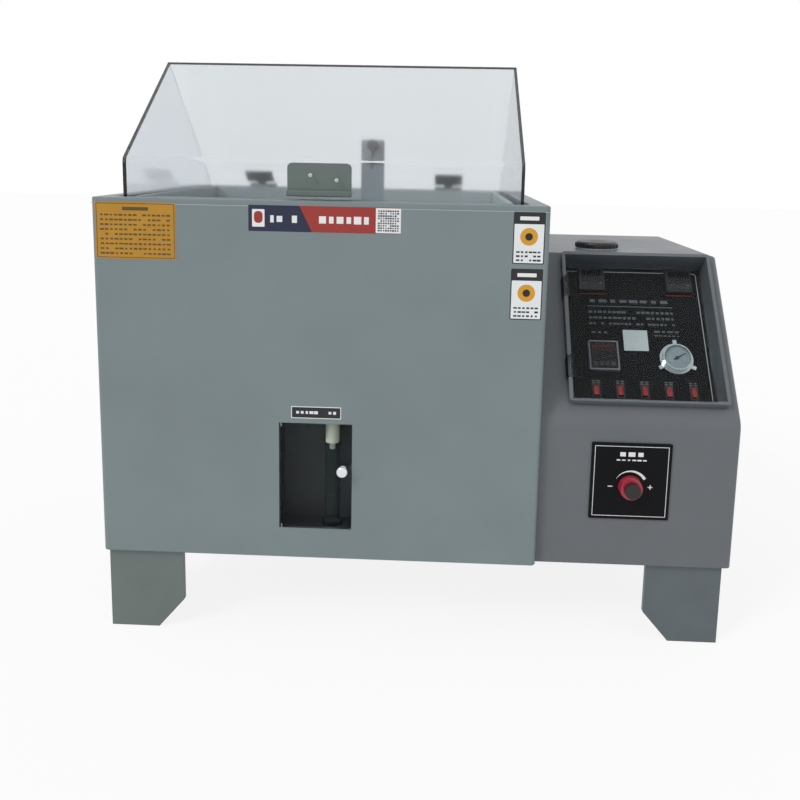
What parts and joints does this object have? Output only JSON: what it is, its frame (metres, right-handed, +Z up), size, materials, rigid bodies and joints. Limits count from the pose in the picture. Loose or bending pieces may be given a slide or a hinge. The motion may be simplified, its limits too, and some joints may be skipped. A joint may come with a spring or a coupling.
{
  "type": "environmental test chamber",
  "caption": "Bench-height salt-fog corrosion chamber: a grey sheet tank on plate feet with a gabled acrylic lid in a water seal, and a side console with a sunk control panel.",
  "frame": {"origin": "on the floor, below the middle of the whole object", "axes": "+X to the right, from the tank towards the console; +Y from the window side to the rear; +Z up"},
  "size_m": [1.066, 0.71, 0.986],
  "materials": {
    "body_plastic": "satin",
    "dark_plastic": "satin",
    "liner_plastic": "satin",
    "lid_acrylic": "gloss",
    "trim_plastic": "satin",
    "clear_acrylic": "gloss",
    "glass": "gloss",
    "spout_plastic": "satin",
    "black_plastic": "satin",
    "red_plastic": "gloss",
    "panel_face": "satin",
    "cap_plastic": "satin",
    "seal_rubber": "matte",
    "tank_plastic": "satin",
    "steel": "satin",
    "chrome": "gloss",
    "brass": "satin"
  },
  "bodies": {
    "cabinet": {"cable_gland": "black_plastic", "chamber_liner": "liner_plastic", "collector_spout": "spout_plastic", "console_shell": "body_plastic", "control_panel": "panel_face", "controller_left": "black_plastic", "controller_right": "black_plastic", "cover_hinges": "clear_acrylic", "cylinder_compartment": "dark_plastic", "door_pins": "steel", "drain_valve": "brass", "exhaust_port": "liner_plastic", "fog_funnel": "glass", "foot_front_left": "body_plastic", "foot_front_right": "body_plastic", "foot_rear_left": "body_plastic", "foot_rear_right": "body_plastic", "gauge_case": "steel", "gauge_lens": "clear_acrylic", "lid_hinge_bases": "steel", "measuring_cylinder": "glass", "outer_tank": "body_plastic", "panel_rim": "trim_plastic", "regulator_body": "trim_plastic", "regulator_plate": "panel_face", "rocker_frames": "black_plastic", "saturator_barrel": "steel", "seal_trough": "body_plastic", "service_panel": "body_plastic", "solution_tank": "tank_plastic", "spray_nozzle": "glass", "spray_tower": "liner_plastic", "temperature_probe": "steel", "timer": "black_plastic", "top_flange": "body_plastic", "water_heater": "steel"},
    "lid": {"lid_front": "lid_acrylic", "lid_back": "lid_acrylic", "lid_left_gable": "lid_acrylic", "lid_right_gable": "lid_acrylic", "lid_handle": "trim_plastic", "lid_hinge_leaves": "steel"},
    "door": {"window_door": "clear_acrylic", "door_knob": "chrome"},
    "cover": {"clear_cover": "clear_acrylic"},
    "regulator": {"regulator_knob": "black_plastic"},
    "pointer": {"gauge_pointer": "black_plastic"},
    "seal_disc": {"cap_seal": "seal_rubber"},
    "cap": {"screw_cap": "cap_plastic"},
    "deflector": {"deflector_bracket": "trim_plastic"},
    "clamp": {"clamp_knob": "cap_plastic"},
    "front_rack": {"sample_rack_front": "trim_plastic"},
    "rear_rack": {"sample_rack_rear": "trim_plastic"},
    "lever": {"drain_lever": "steel"},
    "switch_1": {"rocker_1": "red_plastic"},
    "switch_2": {"rocker_2": "red_plastic"},
    "switch_3": {"rocker_3": "red_plastic"},
    "switch_4": {"rocker_4": "red_plastic"},
    "switch_5": {"rocker_5": "red_plastic"}
  },
  "joints": [
    {"name": "lid_hinge", "type": "hinge", "parent": "cabinet", "child": "lid", "pos_m": [-0.166, 0.257, 0.753], "axis": [-1, 0, 0], "range_deg": [0, 85]},
    {"name": "door_hinge", "type": "hinge", "parent": "cabinet", "child": "door", "pos_m": [-0.227, -0.3325, 0.287], "axis": [0, 0, -1], "range_deg": [0, 100]},
    {"name": "cover_hinge", "type": "hinge", "parent": "cabinet", "child": "cover", "pos_m": [0.256, -0.22368, 0.54088], "axis": [0, -0.6157, -0.788], "range_deg": [0, 100]},
    {"name": "regulator_turn", "type": "hinge", "parent": "cabinet", "child": "regulator", "pos_m": [0.355, -0.317, 0.28202], "axis": [0, 1, 0], "range_deg": [-720, 720]},
    {"name": "pointer_turn", "type": "hinge", "parent": "cabinet", "child": "pointer", "pos_m": [0.4475, -0.21428, 0.47899], "axis": [0, -0.788, 0.6157], "range_deg": [-75, 195]},
    {"name": "cap_lift", "type": "slide", "parent": "cabinet", "child": "seal_disc", "axis": [0, 0, 1], "range_m": [0, 0.0101]},
    {"name": "cap_turn", "type": "hinge", "parent": "seal_disc", "child": "cap", "pos_m": [0.332, -0.025, 0.656], "axis": [0, 0, 1], "range_deg": [0, 900]},
    {"name": "deflector_slide", "type": "slide", "parent": "cabinet", "child": "deflector", "axis": [0, 0, 1], "range_m": [0, 0.04]},
    {"name": "clamp_turn", "type": "hinge", "parent": "cabinet", "child": "clamp", "pos_m": [-0.104, -0.0363, 0.836], "axis": [0, -1, 0], "range_deg": [0, 360]},
    {"name": "front_rack_lift", "type": "slide", "parent": "cabinet", "child": "front_rack", "axis": [0, 0, 1], "range_m": [0, 0.1]},
    {"name": "rear_rack_lift", "type": "slide", "parent": "cabinet", "child": "rear_rack", "axis": [0, 0, 1], "range_m": [0, 0.1]},
    {"name": "drain_lever_turn", "type": "hinge", "parent": "cabinet", "child": "lever", "pos_m": [-0.403, 0.3125, 0.204], "axis": [0, 0, 1], "range_deg": [0, 90]},
    {"name": "switch_1_tilt", "type": "hinge", "parent": "cabinet", "child": "switch_1", "pos_m": [0.3043, -0.24738, 0.42363], "axis": [1, 0, 0], "range_deg": [0, 16]},
    {"name": "switch_2_tilt", "type": "hinge", "parent": "cabinet", "child": "switch_2", "pos_m": [0.3459, -0.24738, 0.42363], "axis": [1, 0, 0], "range_deg": [0, 16]},
    {"name": "switch_3_tilt", "type": "hinge", "parent": "cabinet", "child": "switch_3", "pos_m": [0.3875, -0.24738, 0.42363], "axis": [1, 0, 0], "range_deg": [0, 16]},
    {"name": "switch_4_tilt", "type": "hinge", "parent": "cabinet", "child": "switch_4", "pos_m": [0.4291, -0.24738, 0.42363], "axis": [1, 0, 0], "range_deg": [0, 16]},
    {"name": "switch_5_tilt", "type": "hinge", "parent": "cabinet", "child": "switch_5", "pos_m": [0.4707, -0.24738, 0.42363], "axis": [1, 0, 0], "range_deg": [0, 16]}
  ],
  "couplings": [
    {"joint": "cap_lift", "follows": "cap_turn", "m_per_rad": 0.00063662}
  ]
}
